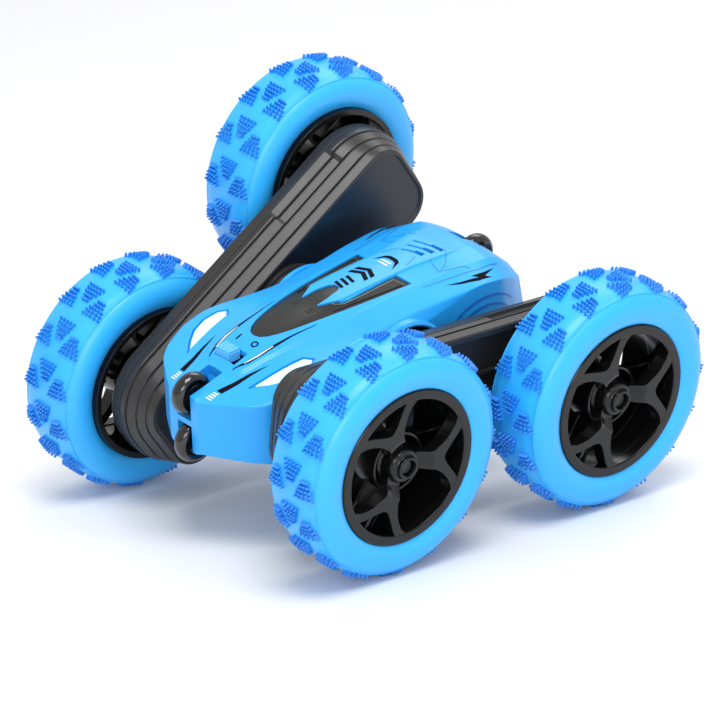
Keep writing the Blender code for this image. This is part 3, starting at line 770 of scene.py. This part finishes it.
def section(x, wall=0.0):
    """(y, z) outline of the upper half of the body at x, from the left seam to the right one."""
    base = smooth_curve(BASE_HALF_W, x) - wall
    crease_w, crease_z = smooth_curve(CREASE_HALF_W, x) - wall, smooth_curve(CREASE_Z, x) - wall * 0.6
    roof_w, roof_z = smooth_curve(ROOF_HALF_W, x) - wall * 0.5, smooth_curve(ROOF_Z, x) - wall
    step = smooth_curve(ROOF_STEP, x)
    foot_z = roof_z + smooth_curve(FOOT_RISE, x)
    plateau_w = smooth_curve(PLATEAU_HALF_W, x)
    plateau_z = foot_z + smooth_curve(PLATEAU_RISE, x)
    corners = [
        (base, -1.0 if wall else 0.0), (base - 0.1, crease_z - smooth_curve(CHAMFER, x)),
        (crease_w, crease_z), (roof_w + 0.4 + step * 0.6, roof_z - step - 0.05), (roof_w, roof_z),
        (plateau_w, foot_z), (plateau_w - 0.3, plateau_z + 0.02), (0.0, plateau_z + CROWN),
    ]
    half = subdivided(rounded(corners, (0.6, 0.6, 0.6, 0.5, 0.25, 0.25)))
    return half + [(-y, z) for y, z in reversed(half[:-1])]


def subdivided(outline):
    """A half section with extra points on its long straight stretches."""
    stretches = {0: 6, 4: 2, 8: 7, 16: 4, 24: 5}
    out = []
    for i, (a, b) in enumerate(zip(outline, outline[1:])):
        parts = stretches.get(i, 1)
        for k in range(parts):
            t = k / parts
            out.append((a[0] + (b[0] - a[0]) * t, a[1] + (b[1] - a[1]) * t))
    return out + [outline[-1]]


SECTIONS = {}


def top_z(x, y):
    """Height of the shell's upper surface above a point of the seam plane."""
    key = round(x, 2)
    if key not in SECTIONS:
        outline = section(key)
        SECTIONS[key] = outline[:len(outline) // 2 + 1]
    half = SECTIONS[key]
    y = abs(y)
    for (y0, z0), (y1, z1) in zip(half, half[1:]):
        if z0 > 1.0 and min(y0, y1) <= y <= max(y0, y1) and abs(y0 - y1) > 1e-6:
            return z0 + (z1 - z0) * (y - y0) / (y1 - y0)
    return half[1][1] if y > half[1][0] else half[-1][1]


def hull(wall=0.0, ends=BODY_ENDS_X, step=1.0):
    """The solid upper half of the body between two ends, drawn in by the wall."""
    count = round((ends[1] - ends[0]) / step)
    start, lean = TAIL_LEAN
    rings = []
    for k in range(count + 1):
        x = ends[0] + (ends[1] - ends[0]) * k / count
        back = max(0.0, start - x)
        rings.append([(x + back * lean * z, y, z) for y, z in section(x, wall)])
    return loft(rings)


def drawn_in(outline, distance):
    """The closed outline moved in by that distance, with its corners kept sharp."""
    following = outline[1:] + outline[:1]
    area = sum(a[0] * b[1] - b[0] * a[1] for a, b in zip(outline, following))
    turn = math.copysign(1.0, area)
    inward = []
    for a, b in zip(outline, following):
        length = math.dist(a, b)
        inward.append((turn * (a[1] - b[1]) / length, turn * (b[0] - a[0]) / length))
    moved = []
    for k, (x, y) in enumerate(outline):
        (ax, ay), (bx, by) = inward[k - 1], inward[k]
        reach = distance / (1.0 + ax * bx + ay * by)
        moved.append((x + (ax + bx) * reach, y + (ay + by) * reach))
    return moved


def canopy_outline():
    """(x, y) outline of the window: pointed nose, long rear branches and a slit between them."""
    half = [
        (36.8, 0.0), (36.2, 2.0), (34.4, 3.9), (31.8, 5.2), (28.2, 6.4), (24.0, 7.4), (18.0, 8.6),
        (10.0, 9.8), (0.0, 10.9), (-12.6, 12.0), (-11.2, 6.6), (3.0, 6.9), (7.2, 7.1), (9.6, 6.4),
        (15.8, 3.3), (11.0, 3.0), (7.0, 2.2), (5.4, 1.1),
    ]
    return half + [(x, -y) for x, y in reversed(half[1:])]


def lens_outline():
    """(x, y) outline of the left headlight: a swept-back wedge with a clipped rear corner."""
    return [
        (50.6, 13.4), (46.4, 17.6), (42.6, 20.4), (38.0, 21.7), (32.6, 21.3), (30.2, 19.2), (32.4, 16.5),
        (43.0, 14.7),
    ]


def sheet(outline, height, step):
    """A triangulated surface inside an (x, y) outline, at a height that depends on x and y."""
    border = dense(outline, step)
    inside = []
    xs, ys = [p[0] for p in outline], [p[1] for p in outline]
    rows = int((max(ys) - min(ys)) / step)
    columns = int((max(xs) - min(xs)) / step)
    for j in range(1, rows + 1):
        for i in range(1, columns + 1):
            x = min(xs) + step * (i + 0.5 * (j % 2))
            y = min(ys) + step * j
            if within(border, x, y, step * 0.5):
                inside.append((x, y))
    points = [Vector(p) for p in border + inside]
    loop = list(range(len(border)))
    verts, _, faces, _, _, _ = delaunay_2d_cdt(points, [], [loop], 1, TINY)
    bm = bmesh.new()
    made = [bm.verts.new((v.x, v.y, height(v.x, v.y))) for v in verts]
    for face in faces:
        bm.faces.new([made[i] for i in face])
    bmesh.ops.recalc_face_normals(bm, faces=bm.faces)
    if sum(face.normal.z for face in bm.faces) < 0:
        bmesh.ops.reverse_faces(bm, faces=bm.faces)
    return bm


def skirt(bm, depth):
    """The surface with a wall of that depth hanging from its border."""
    edges = [edge for edge in bm.edges if edge.is_boundary]
    for item in bmesh.ops.extrude_edge_only(bm, edges=edges)["geom"]:
        if isinstance(item, bmesh.types.BMVert):
            item.co.z -= depth
    bmesh.ops.recalc_face_normals(bm, faces=bm.faces)
    return bm


def patch(outline, lift, depth, step):
    """A piece of skin that follows the shell's upper surface inside an (x, y) outline."""
    bm = sheet(outline, lambda x, y: top_z(x, y) + lift, step)
    return skirt(bm, depth) if depth else bm


def on_face(bm, upside, side=1):
    """The bmesh moved to the upper or lower face and to the left or right side."""
    if upside < 0:
        mirrored(bm, "z")
    if side < 0:
        mirrored(bm, "y")
    return bm


def dense(outline, step):
    """The closed outline with points no further apart than the step."""
    out = []
    for a, b in zip(outline, outline[1:] + outline[:1]):
        parts = max(1, math.ceil(math.dist(a, b) / step))
        out += [(a[0] + (b[0] - a[0]) * k / parts, a[1] + (b[1] - a[1]) * k / parts) for k in range(parts)]
    return out


def within(border, x, y, margin):
    """True where a point lies inside the border and at least the margin away from it."""
    inside = False
    for (x0, y0), (x1, y1) in zip(border, border[1:] + border[:1]):
        if (y0 > y) != (y1 > y) and x < (x1 - x0) * (y - y0) / (y1 - y0) + x0:
            inside = not inside
    return inside and all(math.dist(p, (x, y)) > margin for p in border)


FRONT_ROLLER = BODY.inverted() @ place("front_upper_roller_spin")
REAR_ROLLER = BODY.inverted() @ place("rear_upper_roller_spin")
ROLLER_LOW, ROLLER_HIGH = extent("front_upper_roller", BODY)
ROLLER_R = (ROLLER_HIGH.x - ROLLER_LOW.x) / 2
ROLLER_HALF_W = ROLLER_HIGH.y
KNOB_LOW, KNOB_HIGH = extent("switch_knob", BODY)
SLOT_HALF_W = 3.1
SLOT_REAR_X = 50.9
ARCH_R = 14.2
ARCH_LIP_ANGLES = (3, 174)  # where the arch's lip starts, and its sweep (degrees)
ARCH_CUT_Y = (20.8, 40.0)
CROSSBAR_HALF_H = 0.85
ABOVE = 31.0  # a height that clears the whole roof
VENTS = 3
SWITCH_POCKET = (2.5, 4.4, 11.4)  # half length, half width and floor height
FLANK_ARCS = ((-30.0, -6.0), (12.4, 15.4, 18.2))  # their shared centre and their radii


def vent(k):
    """One rear vent: a thin slanted groove that opens into a deeper slot."""
    x, grow = -21.4 - 2.9 * k, 1.0 + 0.22 * k
    groove = [(x + 0.6, -2.6), (x - 0.1, -2.7), (x - 1.9, 2.0), (x - 1.1, 2.3)]
    slot = [(x - 1.0, 1.4), (x - 2.2, 1.2), (x - 3.0, 4.4), (x - 1.3, 4.7)]
    level = top_z(x, 0.0)
    return [
        prism([(u, v * grow) for u, v in groove], level - 0.6, ABOVE),
        prism([(u, v * grow) for u, v in slot], level - 2.6, ABOVE),
    ]


def shell_cutters(upside):
    """Everything that is cut out of one half of the body."""
    roller_rear = FRONT_ROLLER.x - ROLLER_R
    inner, outer = ARCH_CUT_Y
    lens = prism(lens_outline(), 10.0, ABOVE)
    cutters = [
        hull(WALL, (-35.0, 46.0), 2.0),
        prism(canopy_outline(), 3.0, ABOVE),
        prism(circle(ARCH_R, 64), inner, outer, "y"),
        prism(circle(ARCH_R, 64), -outer, -inner, "y"),
        lens,
        mirrored(lens.copy(), "y"),
        prism((
            (SLOT_REAR_X, 30.0), (SLOT_REAR_X, 9.2), (roller_rear, 5.0),
            (roller_rear + 0.4, CROSSBAR_HALF_H), (80.0, CROSSBAR_HALF_H), (80.0, 30.0),
        ), -SLOT_HALF_W, SLOT_HALF_W, "y"),
        box(-60.0, REAR_ROLLER.x + ROLLER_R + 0.8, -SLOT_HALF_W, SLOT_HALF_W, 3.0, ABOVE),
    ]
    if upside > 0:
        middle = (KNOB_LOW.x + KNOB_HIGH.x) / 2
        half_l, half_w, floor = SWITCH_POCKET
        cutters.append(box(middle - half_l, middle + half_l, -half_w, half_w, floor, ABOVE))
    for k in range(VENTS):
        cutters += vent(k)
    return cutters


def arch_lip(side):
    """A raised lip round the upper half of the pivot's opening."""
    count = 48
    start, sweep = ARCH_LIP_ANGLES
    outline = (
        (ARCH_R, 21.4), (ARCH_R, 23.3), (ARCH_R + 0.25, 23.7), (ARCH_R + 0.7, 23.8), (ARCH_R + 1.5, 23.2),
        (ARCH_R + 1.8, 21.4),
    )
    rings = []
    for k in range(count + 1):
        a = math.radians(start + sweep * k / count)
        rings.append([(r * math.cos(a), y * side, r * math.sin(a)) for r, y in outline])
    return loft(rings)


def shells():
    for upside, level in ((1, "upper"), (-1, "lower")):
        node = "top_shell" if upside > 0 else "bottom_shell"
        body = carved(hull(), shell_cutters(upside))
        whole = on_face(merged([body, arch_lip(1), arch_lip(-1)]), upside)
        weigh_edges(whole, 30)
        name = f"{level}_shell_skin"
        made = piece(name, whole, BODY, ("shell",), "car_body", [node], 0.2, 30)
        made.modifiers["bevel"].limit_method = "WEIGHT"
        window(level, upside)
        headlights(level, upside)
        decals(level, upside)


def weigh_edges(bm, angle):
    """Marks every sharp edge for the bevel, other than those in the seam between the two halves."""
    weight = bm.edges.layers.float.new("bevel_weight_edge")
    for edge in bm.edges:
        seam = all(abs(vertex.co.z) < 0.05 for vertex in edge.verts)
        if not seam and edge.calc_face_angle(0.0) > math.radians(angle):
            edge[weight] = 1.0


def window(level, upside):
    """Smoked window: a sunk dome, and in each rear branch a raised pane with a pale line along its edge,
    painted as a highlight.
    """
    pane = [(12.4, 7.4), (14.0, 8.0), (0.0, 9.7), (-10.2, 10.7), (-9.5, 8.0), (7.6, 8.3)]
    parts = [
        patch(drawn_in(canopy_outline(), 0.12), SUNK_LIFT, 1.2, 1.0),
        patch(pane, PANE_LIFT, 0.6, 0.9), mirrored(patch(pane, PANE_LIFT, 0.6, 0.9), "y"),
    ]
    # a pale line along each pane's edge, painted as a highlight
    edge = ((12.6, 5.9), (9.4, 7.6), (3.0, 7.9), (-9.4, 7.7), (-10.4, 11.0))
    pane_edge_highlight = stripe(edge, (0.15, 0.28, 0.28, 0.28, 0.2))
    for side in (1, -1):
        line = on_face(patch(pane_edge_highlight, PANE_EDGE_HIGHLIGHT_LIFT, 0.0, 0.7), 1, side)
        for face in line.faces:
            face.material_index = 1
        parts.append(line)
    for k in range(3):
        x = 17.2 + 1.0 * k
        bar = [(x, 2.2), (x + 0.35, 2.2), (x + 0.2, 4.4), (x - 0.2, 4.6)]
        parts += [on_face(patch(bar, -0.3, 0.3, 0.5), 1, side) for side in (1, -1)]
    whole = on_face(merged(parts), upside)
    made = piece(f"{level}_window", whole, BODY, ("window", "pane_edge_highlight"), "car_body", (), 0.12, 40)
    if upside > 0:
        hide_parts("canopy")


def headlights(level, upside):
    """A blue bowl and a lit pane over it, on both sides."""
    for hand, side in (("left", 1), ("right", -1)):
        bezel = patch(drawn_in(lens_outline(), 0.1), SUNK_LIFT, 1.2, 0.9)
        glow = patch(drawn_in(lens_outline(), 0.75), PANE_LIFT, 0.6, 0.8)
        for face in glow.faces:
            face.material_index = 1
        both = on_face(merged([bezel, glow]), upside, side)
        piece(
            f"{hand}_{level}_headlight", both, BODY, ("bezel", "lamp"), "car_body",
            [f"{hand}_{level}_headlight_lens"], 0.1, 40,
        )


def stripe(path, widths):
    """An outline that runs along a path of (x, y) points with a width at each of them."""
    left, right = [], []
    for k, (point, width) in enumerate(zip(path, widths)):
        before, after = path[max(0, k - 1)], path[min(len(path) - 1, k + 1)]
        length = math.dist(before, after)
        nx, ny = (before[1] - after[1]) / length, (after[0] - before[0]) / length
        left.append((point[0] + nx * width / 2, point[1] + ny * width / 2))
        right.append((point[0] - nx * width / 2, point[1] - ny * width / 2))
    return left + right[::-1]


def side_graphics():
    """Outlines drawn on both sides of a face, as (look, outline)."""
    slash = [(56.6, 7.3), (56.5, 9.3), (52.0, 10.1), (46.5, 11.0), (40.8, 11.9), (46.8, 10.0), (52.0, 8.5)]
    bolt = [
        (-20.3, 18.0), (-24.9, 19.2), (-31.3, 20.2), (-29.1, 18.9), (-34.2, 18.9), (-38.4, 18.3),
        (-33.4, 20.1), (-35.4, 21.0), (-30.0, 21.2), (-24.2, 19.8),
    ]
    line = ((49.0, 5.2), (44.5, 6.9), (40.0, 7.6), (35.0, 8.0), (29.0, 8.4), (21.0, 9.4))
    core = ((45.6, 6.4), (41.0, 7.4), (36.0, 7.8))
    marks = [("ink", slash), ("ink", bolt), ("ink", stripe(line, (0.25, 1.0, 1.1, 0.9, 0.5, 0.15)))]
    marks.append(("white", stripe(core, (0.2, 0.55, 0.2))))
    for k in range(4):
        x, inner_y = 57.5 + 0.85 * k, 7.2 - 0.12 * k
        marks.append(("white", [(x, inner_y), (x + 0.38, inner_y), (x + 0.1, 8.9), (x - 0.28, 8.9)]))
    seams = (
        ((-30.4, 6.6), (-28.6, 8.6), (-26.4, 11.0), (-22.3, 13.2)),
        ((-23.4, 7.6), (-22.6, 10.6), (-22.2, 13.0)),
        ((-23.6, 13.4), (-29.9, 14.9), (-31.0, 16.4)), ((-16.2, 5.4), (-21.2, 3.6)),
        ((-14.0, 15.0), (-24.0, 16.6), (-33.0, 17.6), (-41.0, 17.0)),
    )
    # panel seams are drawn as dark strips: painted shade inside the grooves
    for path in seams:
        marks.append(("groove", stripe(path, [0.3] * len(path))))
    return marks


def middle_graphics(upside):
    """Outlines drawn once across the middle of a face, as (look, outline)."""
    marks = []
    for x in (4.4, 2.3, 0.2):
        marks.append(("ink", [(x + 1.3, 2.1), (x + 0.2, 2.1), (x - 0.7, -2.1), (x + 0.4, -2.1)]))
    for x in (-3.6, -6.0):
        marks.append(("ink", [
            (x + 1.9, 3.7), (x + 0.3, 3.7), (x - 1.5, 0.0), (x + 0.3, -3.7), (x + 1.9, -3.7), (x + 0.1, 0.0),
        ]))
    marks.append(("ink", [
        (-11.6, 4.4), (-15.6, 2.9), (-16.4, 1.4), (-16.4, -1.4), (-15.6, -2.9), (-11.6, -4.4), (-14.6, -2.2),
        (-14.9, -1.0), (-14.9, 1.0), (-14.6, 2.2),
    ]))
    for x in (-11.9, -13.3):
        marks.append(("white", [(x + 0.25, 2.0), (x - 0.35, 2.0), (x - 0.25, -2.0), (x + 0.35, -2.0)]))
    if upside > 0:
        marks.append(("ink", [(40.4, -3.1), (38.2, -3.3), (38.3, -3.9), (40.5, -3.7)]))
        for k in range(10):
            a, b = math.radians(36 * k), math.radians(36 * k + 37)
            part = ((0.7, a), (1.2, a), (1.2, b), (0.7, b))
            marks.append(("ink", [(39.0 + r * math.cos(t), 3.2 + r * math.sin(t)) for r, t in part]))
    return marks


def flank_y(x, z):
    """Distance of the body's flank from the middle plane."""
    wall_top = smooth_curve(CREASE_Z, x) - smooth_curve(CHAMFER, x)
    return smooth_curve(BASE_HALF_W, x) - 0.1 * z / wall_top


def flank_arc(radius):
    """A curved groove on the left rear flank, tapered at both ends: a dark strip laid just over the skin as
    painted shade of the groove.
    """
    (x, z), _ = FLANK_ARCS
    count = 24
    start = math.asin((0.4 - z) / radius) + 0.05
    end = math.radians(138)
    angles = [start + (end - start) * k / count for k in range(count + 1)]
    path = [(x + radius * math.cos(a), z + radius * math.sin(a)) for a in angles]
    widths = [0.2 + 0.9 * math.sin(math.pi * k / count) for k in range(count + 1)]
    bm = sheet(stripe(path, widths), lambda x, z: flank_y(x, z) + 0.07, 0.7)
    bmesh.ops.transform(bm, matrix=SWAP_YZ, verts=bm.verts)
    bmesh.ops.reverse_faces(bm, faces=bm.faces)
    return bm


def decals(level, upside):
    """The printed marks of one face, and dark strips painted as the shade in its fine grooves, one piece for
    each look.
    """
    marks = [(look, outline, (1, -1)) for look, outline in side_graphics()]
    marks += [(look, outline, (1,)) for look, outline in middle_graphics(upside)]
    for order, look in enumerate(("groove", "ink", "white")):
        lift = DECAL_LIFT + DECAL_LAYER * order
        parts = [
            on_face(patch(outline, lift, 0.0, 0.6), upside, side)
            for mark, outline, sides in marks if mark == look for side in sides
        ]
        # the flank's curved grooves are dark strips too: painted shade
        if look == "groove":
            for radius in FLANK_ARCS[1]:
                parts += [on_face(flank_arc(radius), upside, side) for side in (1, -1)]
        piece(f"{level}_{look}_marks", merged(parts), BODY, (look,), "car_body", ())


# Rollers and switch

def rollers():
    for end in ("front", "rear"):
        for level in ("upper", "lower"):
            name = f"{end}_{level}_roller"
            centre = BODY.inverted() @ place(f"{name}_spin")
            half = ROLLER_HALF_W
            hub = ((1.3, 0.7), (2.6, 0.7), (2.8, 0.3), (3.5, 0.3), (3.7, 1.0))
            profile = [(r, -half + in_by) for r, in_by in hub]
            for k in range(9):
                a = math.radians(-80 + 20 * k)
                profile.append((ROLLER_R - 1.9 + 1.9 * math.cos(a), half * math.sin(a)))
            profile += [(r, half - in_by) for r, in_by in reversed(hub)]
            bm = lathe(profile, 64)
            at = BODY @ Matrix.Translation(centre)
            piece(f"{name}_wheel", bm, at, ("roller",), name, [name], 0.0, 50)


def switch():
    """The slider: a block with ribs across its top."""
    low, high = KNOB_LOW, KNOB_HIGH
    parts = [box(low.x, high.x, low.y, high.y, low.z + 3.2, high.z - 0.8)]
    count = 6
    pitch = (high.y - low.y) / count
    for k in range(count):
        y = low.y + pitch * k
        parts.append(box(low.x + 0.1, high.x - 0.1, y + 0.12, y + pitch - 0.12, high.z - 1.0, high.z))
    piece("switch_slider", merged(parts), BODY, ("knob",), "power_switch", ["switch_knob"], 0.12)


# CAD nodes that stay as they are take a better material

def dress_nodes():
    # The axle takes the inner black so that each hub's open bore looks dark: painted shade, not the axle's
    # own colour.
    words = (
        ("axle_gear", "inner"), ("screw", "steel"), ("pin", "steel"), ("washer", "steel"), ("motor", "steel"),
        ("gear", "nylon"), ("idler", "nylon"), ("shaft", "nylon"), ("retainer", "nylon"),
        ("battery_pack", "battery"), ("circuit_board", "board"), ("gearbox", "inner"),
    )
    for name, node in frame["nodes"].items():
        look = "inner"
        for word, finish in words:
            if word in name:
                look = finish
                break
        for slot in node.material_slots:
            slot.material = LOOKS[look]


# Stage

def camera():
    """The camera stands in front of the car's left side, in the left arm's frame."""
    azimuth, elevation = math.radians(CAMERA_AZIMUTH), math.radians(CAMERA_ELEVATION)
    roll = math.radians(CAMERA_ROLL)
    back = Vector((
        math.sin(azimuth) * math.cos(elevation),
        -math.cos(azimuth) * math.cos(elevation),
        math.sin(elevation),
    ))
    right = Vector((0, 0, 1)).cross(back).normalized()
    up = back.cross(right)
    c, s = math.cos(roll), math.sin(roll)
    turn = Matrix((right * c + up * s, up * c - right * s, back)).transposed()
    car = LEFT.to_3x3().normalized()
    made = bpy.data.objects.new("camera", bpy.data.cameras.new("camera"))
    bpy.context.collection.objects.link(made)
    made.matrix_world = Matrix.Translation(LEFT @ Vector(CAMERA_AT)) @ (car @ turn).to_4x4()
    made.data.sensor_width = CAMERA_SENSOR
    made.data.lens = CAMERA_LENS
    made.data.clip_start = 0.05
    bpy.context.scene.camera = made


def area_light(name, at, size, power):
    """A soft rectangular light that faces the car."""
    data = bpy.data.lights.new(name, "AREA")
    data.shape = "RECTANGLE"
    data.size, data.size_y = size
    data.energy = power
    made = bpy.data.objects.new(name, data)
    bpy.context.collection.objects.link(made)
    made.location = at
    made.rotation_euler = (Vector(LIGHT_TARGET) - Vector(at)).to_track_quat("-Z", "Y").to_euler()


def stage():
    """A pale floor, a pale even surround and three soft lights."""
    made, shader, tree = principled("floor_pale", (0.86, 0.86, 0.87), 0.6)
    drifting(tree, shader, (0.84, 0.84, 0.85), (0.9, 0.9, 0.9), FLOOR_SCALE)
    bm = bmesh.new()
    bmesh.ops.create_grid(bm, x_segments=1, y_segments=1, size=FLOOR_HALF)
    mesh = bpy.data.meshes.new("floor")
    bm.to_mesh(mesh)
    bm.free()
    mesh.materials.append(made)
    floor = bpy.data.objects.new("floor", mesh)
    bpy.context.collection.objects.link(floor)
    world = bpy.data.worlds.new("studio")
    world.use_nodes = True
    sky = world.node_tree.nodes["Background"]
    sky.inputs["Color"].default_value = (0.98, 0.985, 1.0, 1)
    sky.inputs["Strength"].default_value = 0.72
    bpy.context.scene.world = world
    bpy.context.scene.view_settings.view_transform = "Standard"
    area_light("key", (0.25, 0.45, 1.1), (0.6, 0.6), 9.5)
    area_light("fill", (0.9, 0.9, 0.45), (0.7, 0.5), 5.0)
    area_light("rim", (-0.7, -0.3, 1.0), (0.8, 0.5), 3.0)


def main():
    for start_cube in [o for o in bpy.context.scene.objects if o.name == "Cube"]:
        bpy.data.objects.remove(start_cube)
    dress_nodes()
    wheels()
    arms()
    shells()
    rollers()
    switch()
    camera()
    stage()


main()
